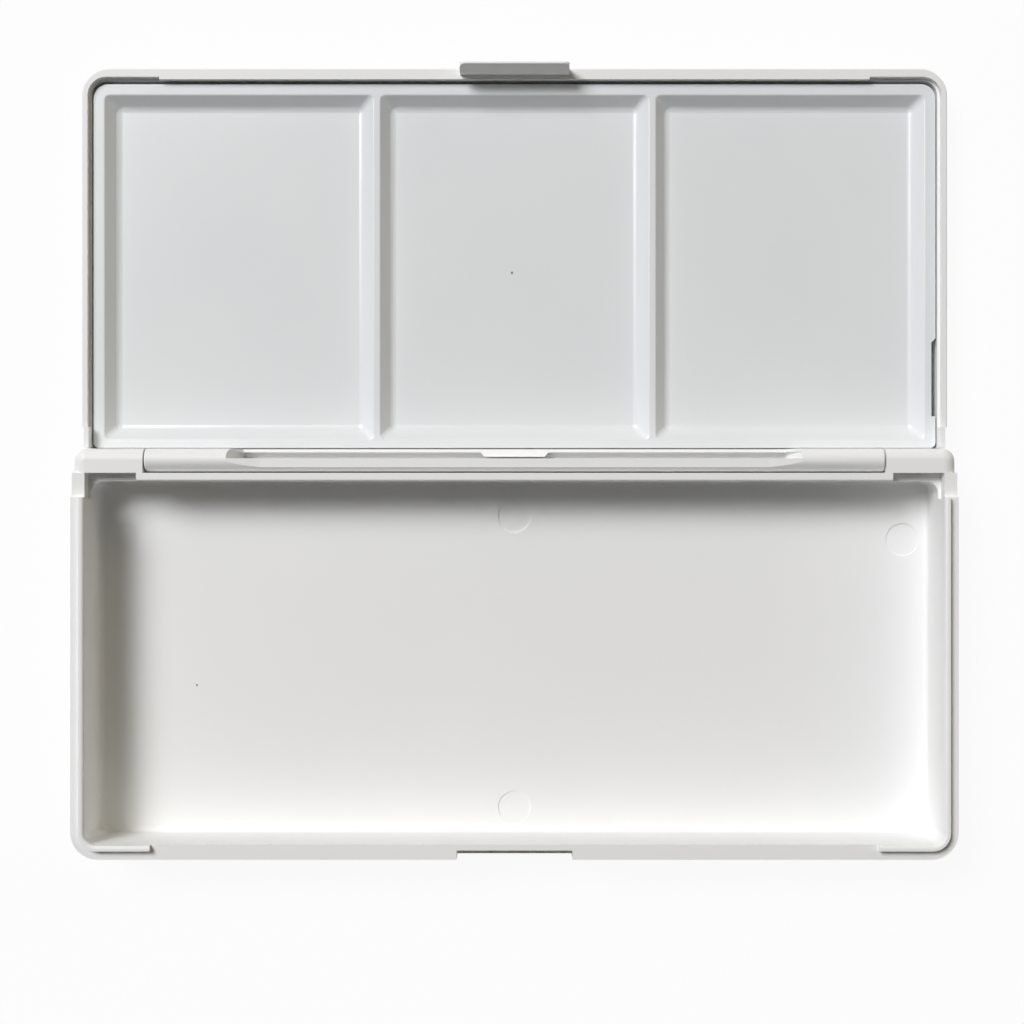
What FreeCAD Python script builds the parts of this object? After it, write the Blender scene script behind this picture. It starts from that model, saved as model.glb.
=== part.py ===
import FreeCAD, Part
import os
import Sketcher

# Folding palette box, lying open: the deep tray towards -Y, the lid with its
# mixing tray towards +Y, the hinge axis along X. Origin on the table under the
# middle of the hinge. Millimetres.

doc = FreeCAD.newDocument("palette_box")
sheet = doc.addObject("Spreadsheet::Sheet", "Sizes")

SIZES = {
    # whole box
    "box_length": 210.0,
    "front_reach": 94.6,
    "closed_height": 27.0,
    "plan_corner_radius": 6.5,
    "outer_edge_radius": 1.5,
    # hinge
    "knuckle_radius": 2.75,
    "ear_length": 16.7,
    "ear_gap": 0.3,
    "bar_gap": 0.35,
    "pin_diameter": 2.0,
    "pin_running_gap": 0.05,
    "pin_bar_reach": 9.5,
    "pin_recess": 0.5,
    "pin_end_gap": 0.5,
    "pin_chamfer": 0.3,
    # deep tray
    "base_floor": 1.8,
    "floor_radius": 1.0,
    "lip_height": 1.7,
    "lip_thickness": 1.3,
    "shoulder_width": 2.3,
    "rear_wall": 1.9,
    "deck_reach": 8.9,
    "front_corner_length": 19.0,
    "ear_corner_radius": 3.0,
    "corner_pocket_length": 11.6,
    "corner_pocket_depth": 3.7,
    "corner_pocket_overrun": 0.6,
    "mark_diameter": 8.0,
    "mark_depth": 0.25,
    "mark_side_inset": 6.2,
    "mark_side_depth": 14.2,
    "mark_rear_inset": 8.5,
    "mark_front_inset": 6.1,
    "lip_edge_radius": 0.8,
    "deck_edge_radius": 0.4,
    # lid
    "lid_side_inset": 0.6,
    "lid_height": 9.3,
    "lid_plate": 1.6,
    "rim_gap": 0.1,
    "lip_side_gap": 0.35,
    "lip_top_gap": 0.2,
    "ledge_width": 0.6,
    "cheek_length": 8.1,
    "cheek_inset": 0.8,
    "deck_gap": 0.2,
    "band_end_gap": 0.3,
    "lid_rear_gap": 0.35,
    "bar_end_length": 19.5,
    "groove_ramp": 3.0,
    "groove_width": 1.65,
    "groove_floor": 6.0,
    "bar_flat_drop": 0.6,
    "bar_flat_ramp": 8.0,
    "spring_wall": 0.75,
    "spring_wall_height": 9.0,
    "thumb_tab_length": 16.4,
    "thumb_tab_reach": 1.05,
    "thumb_tab_taper": 0.9,
    "thumb_tab_thickness": 1.5,
    "rim_edge_radius": 0.3,
    "bar_edge_radius": 0.4,
    # snap latch
    "latch_width": 26.2,
    "latch_thickness": 1.6,
    "latch_tip_flat": 0.4,
    "latch_reach": 6.3,
    "latch_side_gap": 0.6,
    "latch_tip_gap": 1.5,
    "latch_notch_depth": 2.2,
    "catch_reach": 0.4,
    "catch_height": 1.6,
    "catch_drop": 1.8,
    "catch_gap": 0.2,
    "barb_reach": 0.45,
    "latch_corner_radius": 1.2,
    # mixing tray
    "tray_gap": 0.3,
    "tray_front_gap": 0.65,
    "tray_rim_drop": 0.1,
    "tray_front_radius": 3.6,
    "tray_rear_radius": 1.4,
    "side_rim": 2.75,
    "front_rim": 2.7,
    "rear_rim": 2.1,
    "rib_width": 1.6,
    "well_depth": 3.0,
    "well_slope": 44.0,
    "well_corner_radius": 1.8,
    "well_floor_radius": 2.0,
    "well_edge_radius": 0.5,
    "tray_edge_radius": 0.35,
    "core_skin": 1.2,
    "core_depth": 3.0,
    "core_width": 1.4,
    "finger_slot_length": 19.0,
    "finger_slot_depth": 1.1,
    "finger_slot_place": 10.8,
}

for row, (alias, amount) in enumerate(SIZES.items(), start=1):
    sheet.set(f"A{row}", alias.replace("_", " "))
    sheet.set(f"B{row}", str(amount))
    sheet.setAlias(f"B{row}", alias)
doc.recompute()


def size(alias):
    return f"Sizes.{alias}"


def value(expression):
    return float(sheet.evalExpression(expression))


# Places worked out from the driving sizes, as expressions.
half_length = f"({size('box_length')} / 2)"
front = size("front_reach")
hinge_height = f"({size('closed_height')} / 2)"
knuckle = size("knuckle_radius")
deck_height = f"({hinge_height} + {knuckle})"
parting_height = f"({size('closed_height')} - {size('lid_height')})"
lip_top = f"({parting_height} + {size('lip_height')})"
lip_half_length = f"({half_length} - {size('shoulder_width')})"
lip_front = f"({front} - {size('shoulder_width')})"
base_half_inside = f"({lip_half_length} - {size('lip_thickness')})"
base_front_inside = f"({lip_front} - {size('lip_thickness')})"
rear_face = f"({knuckle} + {size('bar_gap')})"
rear_inside = f"({rear_face} + {size('rear_wall')})"
half_band = f"({half_length} - {size('front_corner_length')})"
ear_inside = f"({half_length} - {size('ear_length')})"
half_bar = f"({ear_inside} - {size('ear_gap')})"
pin_start = f"({half_bar} - {size('pin_bar_reach')})"
pin_length = f"({half_length} - {size('pin_recess')} - {pin_start})"
half_latch = f"({size('latch_width')} / 2)"
half_notch = f"({half_latch} + {size('latch_side_gap')})"
notch_back = f"({front} - {size('latch_notch_depth')})"
latch_tip = f"({parting_height} - {size('latch_reach')})"
notch_floor = f"({latch_tip} - {size('latch_tip_gap')})"
catch_top = f"({parting_height} - {size('catch_drop')})"
catch_bottom = f"({catch_top} - {size('catch_height')})"
rim_height = f"({size('lid_height')} - {size('rim_gap')})"
ledge_height = f"({size('lid_height')} - {size('lip_height')} - {size('lip_top_gap')})"
lid_half_length = f"({half_length} - {size('lid_side_inset')})"
skirt_half_inside = f"({lip_half_length} + {size('lip_side_gap')})"
skirt_front_inside = f"({lip_front} + {size('lip_side_gap')})"
lid_half_inside = f"({skirt_half_inside} - {size('ledge_width')})"
lid_front_inside = f"({skirt_front_inside} - {size('ledge_width')})"
lid_rear = f"({knuckle} + {size('lid_rear_gap')})"
spring_face = f"({knuckle} - {size('spring_wall')})"
half_groove = f"({half_bar} - {size('bar_end_length')})"
cheek_height = f"({size('closed_height')} - {deck_height} - {size('deck_gap')})"
cheek_half_length = f"({lid_half_length} - {size('cheek_inset')})"
half_front_wall = f"({half_band} - {size('band_end_gap')})"
tray_half_length = f"({lid_half_inside} - {size('tray_gap')})"
tray_front = f"({lid_front_inside} - {size('tray_front_gap')})"
tray_rear = f"({knuckle} + {size('tray_gap')})"
tray_top = f"({ledge_height} - {size('tray_rim_drop')})"
well_length = f"((2 * {tray_half_length} - 2 * {size('side_rim')} - 2 * {size('rib_width')}) / 3)"
well_pitch = f"({well_length} + {size('rib_width')})"
well_front = f"({tray_front} - {size('front_rim')})"
well_rear = f"({tray_rear} + {size('rear_rim')})"


def new_body(label):
    body = doc.addObject("PartDesign::Body", label)
    body.Label = label
    return body


def new_sketch(body, name, role, offset="0"):
    sketch = body.newObject("Sketcher::SketchObject", name)
    plane = next(part for part in body.Origin.OriginFeatures if part.Role == role)
    sketch.AttachmentSupport = [(plane, "")]
    sketch.MapMode = "FlatFace"
    sketch.setExpression("AttachmentOffset.Base.z", offset)
    return sketch


def place_point(sketch, geometry, end, across, up):
    for kind, expression in (("DistanceX", across), ("DistanceY", up)):
        number = sketch.addConstraint(
            Sketcher.Constraint(kind, -1, 1, geometry, end, value(expression))
        )
        sketch.setExpression(f"Constraints[{number}]", expression)


def add_polygon(sketch, corners):
    points = [FreeCAD.Vector(value(across), value(up), 0) for across, up in corners]
    first = sketch.GeometryCount
    count = len(points)
    for step in range(count):
        line = Part.LineSegment(points[step], points[(step + 1) % count])
        sketch.addGeometry(line, False)
    for step in range(count):
        following = first + (step + 1) % count
        sketch.addConstraint(Sketcher.Constraint("Coincident", first + step, 2, following, 1))
    for step, (across, up) in enumerate(corners):
        place_point(sketch, first + step, 1, across, up)


def add_box(sketch, left, right, low, high):
    add_polygon(sketch, [(left, low), (right, low), (right, high), (left, high)])


def add_circle(sketch, across, up, radius):
    centre = FreeCAD.Vector(value(across), value(up), 0)
    circle = Part.Circle(centre, FreeCAD.Vector(0, 0, 1), value(radius))
    number = sketch.addGeometry(circle, False)
    place_point(sketch, number, 3, across, up)
    constraint = sketch.addConstraint(Sketcher.Constraint("Radius", number, value(radius)))
    sketch.setExpression(f"Constraints[{constraint}]", radius)


def pad(body, name, sketch, length, both_ways=False):
    feature = body.newObject("PartDesign::Pad", name)
    feature.Profile = sketch
    feature.setExpression("Length", length)
    feature.Midplane = both_ways
    doc.recompute()
    return feature


def pocket(body, name, sketch, length, backwards=False, both_ways=False, slope=None):
    before = body.Shape.Volume
    feature = body.newObject("PartDesign::Pocket", name)
    feature.Profile = sketch
    feature.setExpression("Length", length)
    feature.Reversed = backwards
    feature.Midplane = both_ways
    if slope:
        feature.setExpression("TaperAngle", f"-{slope}")
    doc.recompute()
    if not body.Shape.Volume < before:
        raise RuntimeError(f"{name} cuts nothing")
    return feature


def fillet(body, name, radius, wanted):
    base = body.Tip
    edges = [
        f"Edge{number}"
        for number, edge in enumerate(base.Shape.Edges, start=1)
        if wanted(edge)
    ]
    if not edges:
        raise RuntimeError(f"{name} finds no edge")
    feature = body.newObject("PartDesign::Fillet", name)
    feature.Base = (base, edges)
    feature.setExpression("Radius", radius)
    doc.recompute()
    if "Invalid" in feature.State:
        raise RuntimeError(f"{name} can't be rounded")
    return feature


NEAR = 1e-4


def near(a, b):
    return abs(a - b) < NEAR


def upright_at(edge, across, depth):
    # An upright edge at the given distance either side of the middle.
    box = edge.BoundBox
    thin = box.XLength < NEAR and box.YLength < NEAR
    return thin and near(abs(box.XMin), across) and near(box.YMin, depth)


def flat_at(edge, height):
    box = edge.BoundBox
    return near(box.ZMin, height) and near(box.ZMax, height)


def inside_plan(edge, across, low, high):
    box = edge.BoundBox
    wide = max(abs(box.XMin), abs(box.XMax)) < across + NEAR
    return wide and box.YMin > low - NEAR and box.YMax < high + NEAR


def make_base_tray():
    body = new_body("base_tray")

    # Outer block up to the top of the lip, with round front corners.
    sketch = new_sketch(body, "base_outline", "XY_Plane")
    add_box(sketch, f"-{half_length}", half_length, f"-{front}", f"-{rear_face}")
    pad(body, "base_block", sketch, lip_top)
    fillet(
        body, "base_front_corners", size("plan_corner_radius"),
        lambda edge: upright_at(edge, value(half_length), -value(front)),
    )

    # Hinge ears: a cross-section along the whole box, round about the hinge axis
    # at the rear, then opened for the hinge bar.
    sketch = new_sketch(body, "ear_section", "YZ_Plane")
    add_polygon(sketch, [
        (f"-{rear_face}", "0"),
        (knuckle, "0"),
        (knuckle, hinge_height),
        ("0", hinge_height),
        ("0", deck_height),
        (f"-{rear_face}", deck_height),
    ])
    pad(body, "ear_block", sketch, size("box_length"), both_ways=True)
    sketch = new_sketch(body, "ear_round", "YZ_Plane")
    add_circle(sketch, "0", hinge_height, knuckle)
    pad(body, "ear_tops", sketch, size("box_length"), both_ways=True)
    fillet(
        body, "ear_corners", size("ear_corner_radius"),
        lambda edge: upright_at(edge, value(half_length), value(knuckle)),
    )
    sketch = new_sketch(body, "bar_opening", "XY_Plane")
    add_box(sketch, f"-{ear_inside}", ear_inside, f"-{rear_face}", f"2 * {knuckle}")
    pocket(body, "bar_gap", sketch, f"2 * {deck_height}", backwards=True)

    # The walls drop to the level of the ears close to the hinge.
    sketch = new_sketch(body, "deck_outline", "XY_Plane", deck_height)
    add_box(
        sketch, f"-{size('box_length')}", size("box_length"),
        f"-{size('deck_reach')}", "0",
    )
    pocket(body, "hinge_deck", sketch, lip_top, backwards=True)

    # Shoulder outside the lip on both sides and round the front corners.
    for side in ("", "-"):
        sketch = new_sketch(body, f"shoulder_outline{side}", "XY_Plane", parting_height)
        add_polygon(sketch, [
            (f"{side}{size('box_length')}", f"-{size('deck_reach')}"),
            (f"{side}{lip_half_length}", f"-{size('deck_reach')}"),
            (f"{side}{lip_half_length}", f"-{lip_front}"),
            (f"{side}{half_band}", f"-{lip_front}"),
            (f"{side}{half_band}", f"-2 * {front}"),
            (f"{side}{size('box_length')}", f"-2 * {front}"),
        ])
        pocket(body, f"shoulder{side}", sketch, lip_top, backwards=True)
    lip_radius = f"({size('plan_corner_radius')} - {size('shoulder_width')})"
    fillet(
        body, "lip_corners", lip_radius,
        lambda edge: upright_at(edge, value(lip_half_length), -value(lip_front)),
    )

    # Between the front corners the wall has no lip.
    sketch = new_sketch(body, "front_band_outline", "XY_Plane", parting_height)
    add_box(sketch, f"-{half_band}", half_band, f"-2 * {front}", f"-{base_front_inside}")
    pocket(body, "front_band", sketch, lip_top, backwards=True)

    # The hollow of the tray.
    sketch = new_sketch(body, "hollow_outline", "XY_Plane", size("base_floor"))
    add_box(
        sketch, f"-{base_half_inside}", base_half_inside,
        f"-{base_front_inside}", f"-{rear_inside}",
    )
    pocket(body, "hollow", sketch, lip_top, backwards=True)
    for depth in (f"-{base_front_inside}", f"-{rear_inside}"):
        fillet(
            body, "hollow_corners", f"({lip_radius} - {size('lip_thickness')})",
            lambda edge: upright_at(edge, value(base_half_inside), value(depth)),
        )
    fillet(
        body, "floor_edge", size("floor_radius"),
        lambda edge: flat_at(edge, value(size("base_floor"))),
    )

    # Pockets behind the ears, at the two rear corners of the hollow.
    for side in ("", "-"):
        sketch = new_sketch(body, f"corner_pocket_outline{side}", "XY_Plane", deck_height)
        inner = f"({base_half_inside} - {size('corner_pocket_length')})"
        add_box(
            sketch, f"{side}{inner}", f"{side}({base_half_inside} + {size('corner_pocket_overrun')})",
            f"-({rear_inside} + {lip_radius})", f"-{rear_face}",
        )
        pocket(body, f"corner_pocket{side}", sketch, size("corner_pocket_depth"))

    # Recess for the snap latch in the front wall, with its catch.
    sketch = new_sketch(body, "notch_outline", "XY_Plane", notch_floor)
    add_box(sketch, f"-{half_notch}", half_notch, f"-2 * {front}", f"-{notch_back}")
    pocket(body, "latch_notch", sketch, lip_top, backwards=True)
    sketch = new_sketch(body, "catch_section", "YZ_Plane")
    add_polygon(sketch, [
        (f"-{notch_back}", catch_bottom),
        (f"-({notch_back} + {size('catch_reach')})", catch_bottom),
        (f"-{notch_back}", catch_top),
    ])
    pad(body, "catch", sketch, size("latch_width"), both_ways=True)

    # Holes for the hinge pins, through both ears.
    sketch = new_sketch(body, "pin_hole_outline", "YZ_Plane")
    add_circle(sketch, "0", hinge_height, f"({size('pin_diameter')} / 2)")
    pocket(body, "pin_holes", sketch, f"2 * {size('box_length')}", both_ways=True)

    # Round marks that the mould's ejector pins leave on the floor.
    sketch = new_sketch(body, "mark_outline", "XY_Plane", size("base_floor"))
    mark_radius = f"({size('mark_diameter')} / 2)"
    mark_across = f"({base_half_inside} - {size('mark_side_inset')})"
    mark_depth = f"-({rear_inside} + {size('mark_side_depth')})"
    add_circle(sketch, f"-{mark_across}", mark_depth, mark_radius)
    add_circle(sketch, mark_across, mark_depth, mark_radius)
    add_circle(sketch, "0", f"-({rear_inside} + {size('mark_rear_inset')})", mark_radius)
    add_circle(sketch, "0", f"-({base_front_inside} - {size('mark_front_inset')})", mark_radius)
    pocket(body, "floor_marks", sketch, size("mark_depth"))

    # Soft top edge all round the mouth of the hollow.
    fillet(
        body, "lip_edge", size("lip_edge_radius"),
        lambda edge: flat_at(edge, value(lip_top)) and inside_plan(
            edge, value(base_half_inside), -value(base_front_inside), -value(size("deck_reach"))
        ),
    )
    fillet(
        body, "rear_wall_edge", size("deck_edge_radius"),
        lambda edge: flat_at(edge, value(deck_height)) and edge.BoundBox.YLength < NEAR
        and near(edge.BoundBox.YMin, -value(rear_inside)),
    )

    # Softened outer edge round the foot of the tray.
    fillet(
        body, "foot_edge", size("outer_edge_radius"),
        lambda edge: flat_at(edge, 0) and not inside_plan(
            edge, value(ear_inside), -value(front) + 3 * NEAR, value(knuckle)
        ),
    )
    return body


def make_lid_shell():
    body = new_body("lid_shell")

    # Outer block up to the rim.
    sketch = new_sketch(body, "lid_outline", "XY_Plane")
    add_box(sketch, f"-{lid_half_length}", lid_half_length, lid_rear, front)
    pad(body, "lid_block", sketch, rim_height)

    # The hollow that holds the mixing tray, open at the two rear corners.
    sketch = new_sketch(body, "lid_hollow_outline", "XY_Plane", size("lid_plate"))
    add_box(sketch, f"-{lid_half_inside}", lid_half_inside, "0", lid_front_inside)
    pocket(body, "lid_hollow", sketch, rim_height, backwards=True)
    fillet(
        body, "lid_hollow_corners", size("tray_front_radius"),
        lambda edge: upright_at(edge, value(lid_half_inside), value(lid_front_inside)),
    )

    # Stepped rim at the sides and corners: room for the lip of the deep tray inside
    # the skirt. The front wall between the corners has no step.
    sketch = new_sketch(body, "step_outline", "XY_Plane", ledge_height)
    add_polygon(sketch, [
        (f"-{skirt_half_inside}", "0"),
        (skirt_half_inside, "0"),
        (skirt_half_inside, skirt_front_inside),
        (half_front_wall, skirt_front_inside),
        (half_front_wall, lid_front_inside),
        (f"-{half_front_wall}", lid_front_inside),
        (f"-{half_front_wall}", skirt_front_inside),
        (f"-{skirt_half_inside}", skirt_front_inside),
    ])
    pocket(body, "rim_step", sketch, rim_height, backwards=True)
    step_radius = f"({size('plan_corner_radius')} - {size('shoulder_width')} + {size('lip_side_gap')})"
    fillet(
        body, "step_corners", step_radius,
        lambda edge: upright_at(edge, value(skirt_half_inside), value(skirt_front_inside)),
    )

    fillet(
        body, "lid_front_corners", size("plan_corner_radius"),
        lambda edge: upright_at(edge, value(lid_half_length), value(front)),
    )

    fillet(
        body, "rim_edge", size("rim_edge_radius"),
        lambda edge: flat_at(edge, value(rim_height)) and not inside_plan(
            edge, value(lid_half_length) - 3 * NEAR, 0, value(front) - 3 * NEAR
        ),
    )

    # Cheeks beside the ears: set in from the skirt, and taller, to meet the lower
    # walls of the deep tray there.
    for side in ("", "-"):
        sketch = new_sketch(body, f"cheek_step_outline{side}", "XY_Plane")
        add_box(
            sketch, f"{side}{cheek_half_length}", f"{side}{half_length}",
            "0", size("cheek_length"),
        )
        pocket(body, f"cheek_step{side}", sketch, rim_height, backwards=True)
        sketch = new_sketch(body, f"cheek_outline{side}", "XY_Plane", size("lid_plate"))
        add_box(
            sketch, f"{side}{lid_half_inside}", f"{side}{cheek_half_length}",
            lid_rear, size("cheek_length"),
        )
        pad(body, f"cheek{side}", sketch, f"{cheek_height} - {size('lid_plate')}")

    # Hinge bar with its round top about the hinge axis.
    sketch = new_sketch(body, "bar_section", "YZ_Plane")
    add_polygon(sketch, [
        (f"-{knuckle}", "0"),
        (f"{lid_rear} + {size('lid_plate')}", "0"),
        (f"{lid_rear} + {size('lid_plate')}", size("lid_plate")),
        (knuckle, size("lid_plate")),
        (knuckle, hinge_height),
        (f"-{knuckle}", hinge_height),
    ])
    pad(body, "bar_block", sketch, f"2 * {half_bar}", both_ways=True)
    sketch = new_sketch(body, "bar_round", "YZ_Plane")
    add_circle(sketch, "0", hinge_height, knuckle)
    pad(body, "bar_top", sketch, f"2 * {half_bar}", both_ways=True)

    fillet(
        body, "bar_ends", size("bar_edge_radius"),
        lambda edge: edge.BoundBox.XLength < NEAR and near(abs(edge.BoundBox.XMin), value(half_bar))
        and edge.BoundBox.ZMax > value(deck_height) - NEAR,
    )

    # The middle of the bar has a flat top and is relieved behind it, which leaves
    # a thin sprung wall beside the mixing tray.
    flat_face = f"({spring_face} - {size('groove_width')})"
    flat_floor = f"({deck_height} - {size('bar_flat_drop')})"
    groove_ramp = size("groove_ramp")
    for name, face, width, floor, ramp in (
        ("bar_flat", flat_face, f"({knuckle} + {flat_face})", flat_floor, size("bar_flat_ramp")),
        ("groove", spring_face, size("groove_width"), size("groove_floor"), groove_ramp),
        ("spring_top", knuckle, size("spring_wall"), size("spring_wall_height"), groove_ramp),
    ):
        sketch = new_sketch(body, f"{name}_section", "XZ_Plane", f"-{face}")
        add_polygon(sketch, [
            (f"-({half_groove} - {ramp})", floor),
            (f"{half_groove} - {ramp}", floor),
            (half_groove, deck_height),
            (f"-{half_groove}", deck_height),
        ])
        pocket(body, name, sketch, width, backwards=True)

    # Thumb tab on the sprung wall.
    sketch = new_sketch(body, "thumb_tab_outline", "XY_Plane", size("spring_wall_height"))
    half_tab = f"({size('thumb_tab_length')} / 2)"
    add_polygon(sketch, [
        (f"-{half_tab}", spring_face),
        (f"-({half_tab} - {size('thumb_tab_taper')})", f"{spring_face} - {size('thumb_tab_reach')}"),
        (f"{half_tab} - {size('thumb_tab_taper')}", f"{spring_face} - {size('thumb_tab_reach')}"),
        (half_tab, spring_face),
    ])
    tab = pad(body, "thumb_tab", sketch, size("thumb_tab_thickness"))
    tab.Reversed = True

    # Running holes for the hinge pins in both ends of the bar.
    hole_radius = f"({size('pin_diameter')} / 2 + {size('pin_running_gap')})"
    hole_end = f"({pin_start} - {size('pin_end_gap')})"
    for side, backwards in (("", True), ("-", False)):
        sketch = new_sketch(body, f"bar_hole_outline{side}", "YZ_Plane", f"{side}{hole_end}")
        add_circle(sketch, "0", hinge_height, hole_radius)
        pocket(body, f"bar_hole{side}", sketch, half_length, backwards=backwards)

    # Snap latch: a tongue in line with the front wall, with a barb near its tip
    # that passes the catch and rests under it when the box is shut.
    tip = f"({size('closed_height')} - {latch_tip})"
    latch_inside = f"({front} - {size('latch_thickness')})"
    barb_low = f"({size('closed_height')} - {catch_bottom} + {size('catch_gap')})"
    sketch = new_sketch(body, "latch_section", "YZ_Plane")
    add_polygon(sketch, [
        (front, size("lid_plate")),
        (front, tip),
        (f"{front} - {size('latch_tip_flat')}", tip),
        (f"{latch_inside} - {size('barb_reach')}", f"{barb_low} + {size('barb_reach')}"),
        (f"{latch_inside} - {size('barb_reach')}", barb_low),
        (latch_inside, barb_low),
        (latch_inside, size("lid_plate")),
    ])
    pad(body, "latch", sketch, size("latch_width"), both_ways=True)
    fillet(
        body, "latch_corners", size("latch_corner_radius"),
        lambda edge: flat_at(edge, value(tip)) and edge.BoundBox.XLength < NEAR,
    )
    fillet(
        body, "lid_face_edge", size("outer_edge_radius"),
        lambda edge: flat_at(edge, 0) and edge.BoundBox.YMax > value(front) - NEAR,
    )
    return body


def make_mixing_tray():
    body = new_body("mixing_tray")

    # Outer block from the lid's plate up to the rim of the wells.
    sketch = new_sketch(body, "tray_outline", "XY_Plane", size("lid_plate"))
    add_box(sketch, f"-{tray_half_length}", tray_half_length, tray_rear, tray_front)
    pad(body, "tray_block", sketch, f"{tray_top} - {size('lid_plate')}")
    for name, radius, depth in (
        ("tray_front_corners", size("tray_front_radius"), tray_front),
        ("tray_rear_corners", size("tray_rear_radius"), tray_rear),
    ):
        fillet(
            body, name, radius,
            lambda edge: upright_at(edge, value(tray_half_length), value(depth)),
        )

    # One sloping well, then three in a row.
    sketch = new_sketch(body, "well_outline", "XY_Plane", tray_top)
    left = f"(-{tray_half_length} + {size('side_rim')})"
    add_box(sketch, left, f"({left} + {well_length})", well_rear, well_front)
    well = pocket(body, "well", sketch, size("well_depth"), slope=size("well_slope"))
    row = body.newObject("PartDesign::LinearPattern", "well_row")
    row.Originals = [well]
    row.Direction = (sketch, ["H_Axis"])
    row.setExpression("Length", f"2 * {well_pitch}")
    row.Occurrences = 3
    body.Tip = row
    doc.recompute()
    floor = f"({tray_top} - {size('well_depth')})"

    def slanting(edge):
        box = edge.BoundBox
        return near(box.ZMin, value(floor)) and near(box.ZMax, value(tray_top))

    fillet(body, "well_corners", size("well_corner_radius"), slanting)
    fillet(body, "well_floors", size("well_floor_radius"), lambda edge: flat_at(edge, value(floor)))
    fillet(
        body, "well_edges", size("well_edge_radius"),
        lambda edge: flat_at(edge, value(tray_top)) and inside_plan(
            edge, value(tray_half_length) - value(size("side_rim")), value(well_rear), value(well_front)
        ),
    )

    fillet(
        body, "tray_edge", size("tray_edge_radius"),
        lambda edge: flat_at(edge, value(tray_top)) and not inside_plan(
            edge, value(tray_half_length) - 3 * NEAR,
            value(tray_rear) + 3 * NEAR, value(tray_front) - 3 * NEAR,
        ),
    )

    # Hollow cores under the two ribs, so that the walls stay thin.
    sketch = new_sketch(body, "rib_core_outline", "XY_Plane", size("lid_plate"))
    half_core = f"({size('core_width')} / 2)"
    rib = f"(-{well_pitch} / 2)"
    add_box(
        sketch, f"({rib} - {half_core})", f"({rib} + {half_core})",
        f"({tray_rear} + {size('core_skin')})", f"({tray_front} - {size('core_skin')})",
    )
    core = pocket(body, "rib_core", sketch, size("core_depth"), backwards=True)
    row = body.newObject("PartDesign::LinearPattern", "rib_cores")
    row.Originals = [core]
    row.Direction = (sketch, ["H_Axis"])
    row.setExpression("Length", well_pitch)
    row.Occurrences = 2
    body.Tip = row
    doc.recompute()

    # Finger slot in the right-hand edge, for lifting the tray out.
    sketch = new_sketch(body, "finger_slot_outline", "XY_Plane", size("lid_plate"))
    inner = f"({tray_half_length} - {size('finger_slot_depth')})"
    start = size("finger_slot_place")
    end = f"({start} + {size('finger_slot_length')})"
    add_polygon(sketch, [
        (tray_half_length, start),
        (inner, start),
        (inner, f"({end} - {size('finger_slot_depth')})"),
        (tray_half_length, end),
    ])
    pocket(body, "finger_slot", sketch, tray_top, backwards=True)
    return body


def make_hinge_pin(label, side):
    pin = doc.addObject("Part::Cylinder", f"{label}_rod")
    pin.setExpression("Radius", f"{size('pin_diameter')} / 2")
    pin.setExpression("Height", pin_length)
    doc.recompute()
    ends = doc.addObject("Part::Chamfer", label)
    ends.Label = label
    ends.Base = pin
    chamfer = value(size("pin_chamfer"))
    ends.Edges = [
        (number, chamfer, chamfer)
        for number, edge in enumerate(pin.Shape.Edges, start=1)
        if edge.Closed and len(edge.Vertexes) == 1
    ]
    along = FreeCAD.Vector(side, 0, 0)
    turn = FreeCAD.Rotation(FreeCAD.Vector(0, 0, 1), along)
    ends.Placement = FreeCAD.Placement(
        along * value(pin_start) + FreeCAD.Vector(0, 0, value(hinge_height)), turn
    )
    doc.recompute()
    return ends


pieces = [
    make_base_tray(),
    make_lid_shell(),
    make_mixing_tray(),
    make_hinge_pin("hinge_pin_left", -1),
    make_hinge_pin("hinge_pin_right", 1),
]
doc.recompute()

for item in doc.Objects:
    if "Invalid" in item.State or "Error" in item.State:
        raise RuntimeError(f"{item.Name} failed: {item.State}")
for piece in pieces:
    if piece.Shape.isNull() or not piece.Shape.isValid() or len(piece.Shape.Solids) != 1:
        raise RuntimeError(f"{piece.Label} is not one valid solid")

os.makedirs("parts", exist_ok=True)
for piece in pieces:
    piece.Shape.exportStep(f"parts/{piece.Label}.step")
    box = piece.Shape.BoundBox
    print(piece.Label, round(piece.Shape.Volume, 1), box)
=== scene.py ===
import bpy
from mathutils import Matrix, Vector

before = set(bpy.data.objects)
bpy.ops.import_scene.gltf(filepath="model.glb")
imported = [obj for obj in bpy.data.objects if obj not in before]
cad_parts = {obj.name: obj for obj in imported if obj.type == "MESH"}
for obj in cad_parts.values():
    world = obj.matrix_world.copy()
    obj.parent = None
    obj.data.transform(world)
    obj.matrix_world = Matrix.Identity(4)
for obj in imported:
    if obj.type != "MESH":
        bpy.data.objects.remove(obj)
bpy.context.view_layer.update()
print("frame loaded:", len(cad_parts), "nodes")

mixSocket = {"factor": 0, "first": 6, "second": 7, "result": 2}  # the colour mix node's
fullStrength = 1.0


def hexToLinear(code):
    parts = [int(code[place:place + 2], 16) / 255 for place in (1, 3, 5)]
    linear = [p / 12.92 if p <= 0.04045 else ((p + 0.055) / 1.055) ** 2.4 for p in parts]
    return (*linear, 1.0)


def metres(millimetres):
    return millimetres / 1000.0


def perMetre(millimetres):
    return 1000.0 / millimetres  # pattern scale for one feature of that size


# Adds one node: its settings, plain input values, and links into its inputs.
def addNode(tree, kind, settings=None, values=None, links=None):
    node = tree.nodes.new(kind)
    for name, setting in (settings or {}).items():
        setattr(node, name, setting)
    for name, number in (values or {}).items():
        node.inputs[name].default_value = number
    for name, socket in (links or {}).items():
        tree.links.new(socket, node.inputs[name])
    return node


def newMaterial(name):
    material = bpy.data.materials.new(name)
    material.use_nodes = True
    material.node_tree.nodes.clear()
    return material, material.node_tree


def dress(nodeName, material):
    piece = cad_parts[nodeName]
    piece.data.materials.clear()
    piece.data.materials.append(material)


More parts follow.
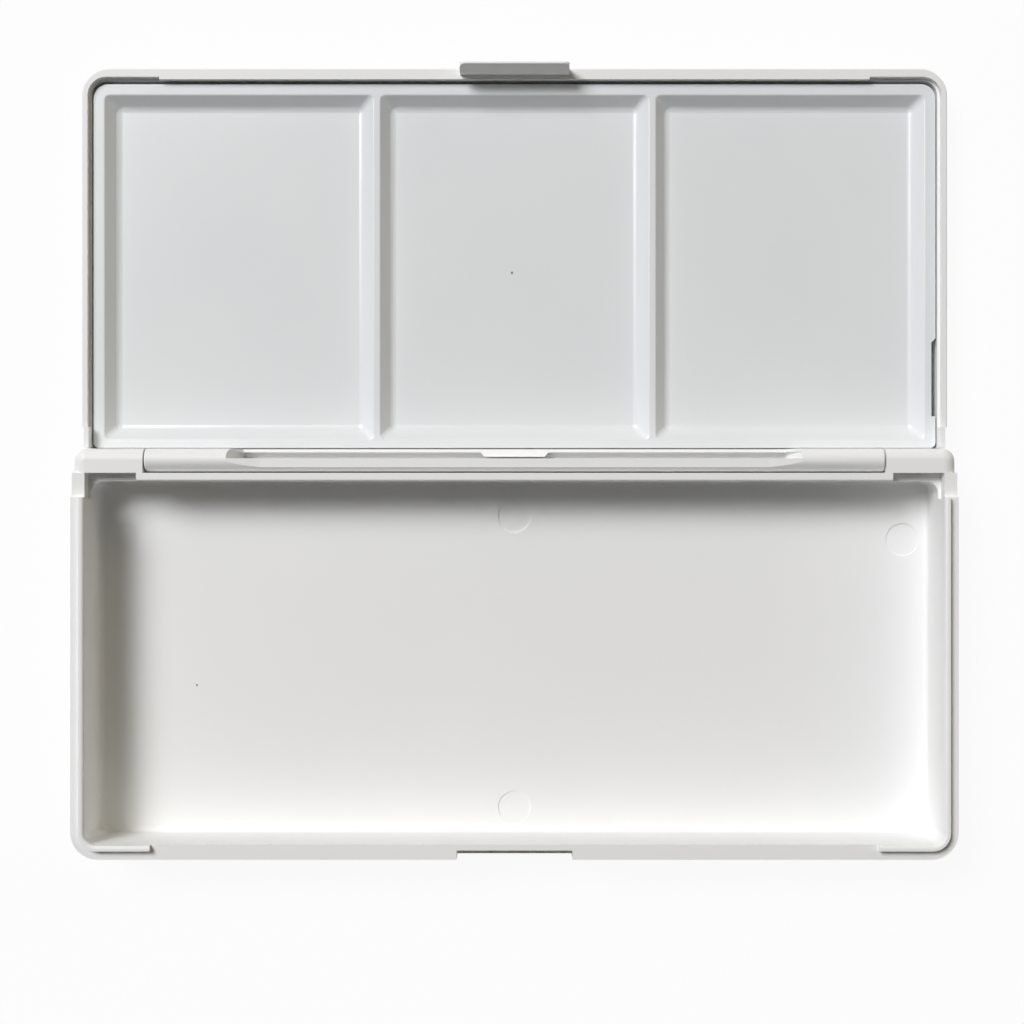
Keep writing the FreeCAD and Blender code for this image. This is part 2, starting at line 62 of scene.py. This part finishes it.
# Moulded plastic: slow flow shading in the colour, a fine mould grain in the gloss
# and height, and one grain of dust. Sizes in the look are in millimetres.
def mouldedPlastic(name, look):
    material, tree = newMaterial(name)
    place = addNode(tree, "ShaderNodeTexCoord").outputs["Object"]
    flow = addNode(
        tree, "ShaderNodeTexNoise",
        values={
            "Scale": perMetre(look["flowSize"]),
            "Detail": look["flowDetail"],
            "Roughness": look["flowBlend"],
        },
        links={"Vector": place},
    )
    colour = addNode(
        tree, "ShaderNodeMix", {"data_type": "RGBA"},
        {
            mixSocket["first"]: hexToLinear(look["pale"]),
            mixSocket["second"]: hexToLinear(look["dull"]),
        },
        {mixSocket["factor"]: flow.outputs["Fac"]},
    )
    away = addNode(
        tree, "ShaderNodeVectorMath", {"operation": "DISTANCE"},
        {1: tuple(metres(number) for number in look["dustPlace"])}, {0: place},
    )
    dust = addNode(
        tree, "ShaderNodeMath", {"operation": "LESS_THAN"},
        {1: metres(look["dustSize"] / 2)}, {0: away.outputs["Value"]},
    )
    dusted = addNode(
        tree, "ShaderNodeMix", {"data_type": "RGBA"},
        {mixSocket["second"]: hexToLinear(look["dust"])},
        {
            mixSocket["factor"]: dust.outputs["Value"],
            mixSocket["first"]: colour.outputs[mixSocket["result"]],
        },
    )
    grain = addNode(
        tree, "ShaderNodeTexNoise",
        values={
            "Scale": perMetre(look["grainSize"]),
            "Detail": look["grainDetail"],
            "Roughness": look["grainBlend"],
        },
        links={"Vector": place},
    )
    gloss = addNode(
        tree, "ShaderNodeMapRange",
        values={"To Min": look["roughLow"], "To Max": look["roughHigh"]},
        links={"Value": grain.outputs["Fac"]},
    )
    bump = addNode(
        tree, "ShaderNodeBump",
        values={"Strength": fullStrength, "Distance": metres(look["grainHeight"])},
        links={"Height": grain.outputs["Fac"]},
    )
    shader = addNode(
        tree, "ShaderNodeBsdfPrincipled",
        values={"IOR": look["ior"]},
        links={
            "Base Color": dusted.outputs[mixSocket["result"]],
            "Roughness": gloss.outputs["Result"],
            "Normal": bump.outputs["Normal"],
        },
    )
    addNode(tree, "ShaderNodeOutputMaterial", links={"Surface": shader.outputs["BSDF"]})
    return material


# White ABS from a satin mould: even white with a soft sheen and no sparkle.
absLook = {
    "pale": "#F6F6F5",
    "dull": "#F1F2F1",
    "flowSize": 42.0,
    "flowDetail": 3.0,
    "flowBlend": 0.45,
    "grainSize": 0.7,  # the real grain is near 0.1 mm, too fine for the render
    "grainDetail": 2.0,
    "grainBlend": 0.6,
    "grainHeight": 0.003,
    "roughLow": 0.44,
    "roughHigh": 0.54,
    "ior": 1.53,
    "dust": "#8C8983",
    "dustPlace": (-78.0, -54.9, 1.8),
    "dustSize": 0.5,
}
absSatin = mouldedPlastic("abs_satin_moulded", absLook)
dress("base_tray", absSatin)
dress("lid_shell", absSatin)
print("box halves dressed")

# Polystyrene from a polished mould: a touch cooler than the box, with a clearer shine.
wellLook = {
    "pale": "#EDF0F1",
    "dull": "#E6E9EB",
    "flowSize": 30.0,
    "flowDetail": 3.0,
    "flowBlend": 0.45,
    "grainSize": 4.0,  # slight ripple of the polished mould
    "grainDetail": 2.0,
    "grainBlend": 0.6,
    "grainHeight": 0.0015,
    "roughLow": 0.27,
    "roughHigh": 0.31,
    "ior": 1.59,
    "dust": "#77736E",
    "dustPlace": (-0.6, 46.0, 4.3),
    "dustSize": 0.6,
}
dress("mixing_tray", mouldedPlastic("polystyrene_polished_moulded", wellLook))
print("mixing tray dressed")

# Drawn steel rod: grey metal with fine lines along its length, from the die.
pinLook = {
    "bright": "#C9CACB",
    "dark": "#A3A5A7",
    "lineWidth": 0.2,
    "lineLength": 12.0,
    "lineDetail": 2.0,
    "lineHeight": 0.01,
    "lineStrength": 0.4,
    "rough": 0.32,
}


def drawnSteel(name, look):
    material, tree = newMaterial(name)
    place = addNode(tree, "ShaderNodeTexCoord").outputs["Object"]
    stretch = addNode(
        tree, "ShaderNodeMapping",
        values={"Scale": (look["lineWidth"] / look["lineLength"], 1.0, 1.0)},
        links={"Vector": place},
    )
    lines = addNode(
        tree, "ShaderNodeTexNoise",
        values={"Scale": perMetre(look["lineWidth"]), "Detail": look["lineDetail"]},
        links={"Vector": stretch.outputs["Vector"]},
    )
    colour = addNode(
        tree, "ShaderNodeMix", {"data_type": "RGBA"},
        {
            mixSocket["first"]: hexToLinear(look["bright"]),
            mixSocket["second"]: hexToLinear(look["dark"]),
        },
        {mixSocket["factor"]: lines.outputs["Fac"]},
    )
    bump = addNode(
        tree, "ShaderNodeBump",
        values={"Strength": look["lineStrength"], "Distance": metres(look["lineHeight"])},
        links={"Height": lines.outputs["Fac"]},
    )
    shader = addNode(
        tree, "ShaderNodeBsdfPrincipled",
        values={"Metallic": 1.0, "Roughness": look["rough"]},
        links={
            "Base Color": colour.outputs[mixSocket["result"]],
            "Normal": bump.outputs["Normal"],
        },
    )
    addNode(tree, "ShaderNodeOutputMaterial", links={"Surface": shader.outputs["BSDF"]})
    return material


steel = drawnSteel("steel_drawn", pinLook)
dress("hinge_pin_left", steel)
dress("hinge_pin_right", steel)
print("hinge pins dressed")


# Gives 1 for the rays that see the white paper: straight from the camera, or by way
# of a shiny or clear surface.
def seesPaper(tree):
    ray = addNode(tree, "ShaderNodeLightPath")
    mirrored = addNode(
        tree, "ShaderNodeMath", {"operation": "MAXIMUM"},
        links={0: ray.outputs["Is Glossy Ray"], 1: ray.outputs["Is Transmission Ray"]},
    )
    seen = addNode(
        tree, "ShaderNodeMath", {"operation": "MAXIMUM"},
        links={0: ray.outputs["Is Camera Ray"], 1: mirrored.outputs["Value"]},
    )
    return seen.outputs["Value"]


# Floor: white card that shows as white paper but keeps a faint shadow. In metres.
floorLook = {
    "size": 8.0,
    "drop": 0.0002,
    "card": "#F4F4F3",
    "paper": "#FFFFFF",
    "paperShare": 0.94,
}


def addFloor(look):
    bpy.ops.object.select_all(action="DESELECT")
    bpy.ops.mesh.primitive_plane_add(size=look["size"], location=(0.0, 0.0, -look["drop"]))
    floor = bpy.context.object
    floor.name = "floor"
    bpy.ops.object.transform_apply(location=True, rotation=False, scale=False)
    material, tree = newMaterial("white_card")
    card = addNode(tree, "ShaderNodeBsdfDiffuse", values={"Color": hexToLinear(look["card"])})
    paper = addNode(
        tree, "ShaderNodeEmission",
        values={"Color": hexToLinear(look["paper"]), "Strength": fullStrength},
    )
    share = addNode(
        tree, "ShaderNodeMath", {"operation": "MULTIPLY"},
        {1: look["paperShare"]}, {0: seesPaper(tree)},
    )
    mixed = addNode(
        tree, "ShaderNodeMixShader",
        links={0: share.outputs["Value"], 1: card.outputs["BSDF"], 2: paper.outputs["Emission"]},
    )
    addNode(tree, "ShaderNodeOutputMaterial", links={"Surface": mixed.outputs["Shader"]})
    floor.data.materials.append(material)


addFloor(floorLook)

# Light: a large soft lamp above the far left corner, a weak warm one above the far
# right, and a dim warm room. In metres and watts.
mainLamp = {
    "name": "softbox",
    "towards": (-0.68, 0.65, 1.15),
    "distance": 6.0,
    "size": 2.5,
    "power": 325.0,
    "tint": "#FDFDFF",
}
sideLamp = {
    "name": "side_card",
    "towards": (0.8, 0.75, 0.6),
    "distance": 6.0,
    "size": 3.0,
    "power": 40.0,
    "tint": "#FFEEC8",
}
roomLook = {"tint": "#FFE9C0", "strength": 0.02, "paper": "#FFFFFF"}


def addLamp(look):
    towards = Vector(look["towards"]).normalized()
    bpy.ops.object.light_add(type="AREA", location=towards * look["distance"])
    lamp = bpy.context.object
    lamp.name = look["name"]
    lamp.rotation_euler = towards.to_track_quat("Z", "Y").to_euler()
    lamp.data.shape = "SQUARE"
    lamp.data.size = look["size"]
    lamp.data.energy = look["power"]
    lamp.data.color = hexToLinear(look["tint"])[:3]


def lightRoom(look):
    world = bpy.data.worlds.new("room")
    world.use_nodes = True
    bpy.context.scene.world = world
    tree = world.node_tree
    tree.nodes.clear()
    room = addNode(
        tree, "ShaderNodeBackground",
        values={"Color": hexToLinear(look["tint"]), "Strength": look["strength"]},
    )
    paper = addNode(
        tree, "ShaderNodeBackground",
        values={"Color": hexToLinear(look["paper"]), "Strength": fullStrength},
    )
    mixed = addNode(
        tree, "ShaderNodeMixShader",
        links={
            0: seesPaper(tree),
            1: room.outputs["Background"],
            2: paper.outputs["Background"],
        },
    )
    addNode(tree, "ShaderNodeOutputWorld", links={"Surface": mixed.outputs["Shader"]})


addLamp(mainLamp)
addLamp(sideLamp)
lightRoom(roomLook)
print("floor and light set")

# Camera: straight down over the open box. Places in metres, lens and sensor in mm.
cameraLook = {
    "place": (-0.0006, -0.0124, 0.421),
    "nearest": 0.01,
    "lens": 60.0,
    "sensor": 36.0,
}


def addCamera(look):
    bpy.ops.object.camera_add(location=look["place"], rotation=(0.0, 0.0, 0.0))
    camera = bpy.context.object
    camera.name = "overhead_camera"
    camera.data.sensor_width = look["sensor"]
    camera.data.lens = look["lens"]
    camera.data.clip_start = look["nearest"]
    bpy.context.scene.camera = camera


addCamera(cameraLook)
bpy.context.scene.view_settings.view_transform = "Standard"
print("camera set")
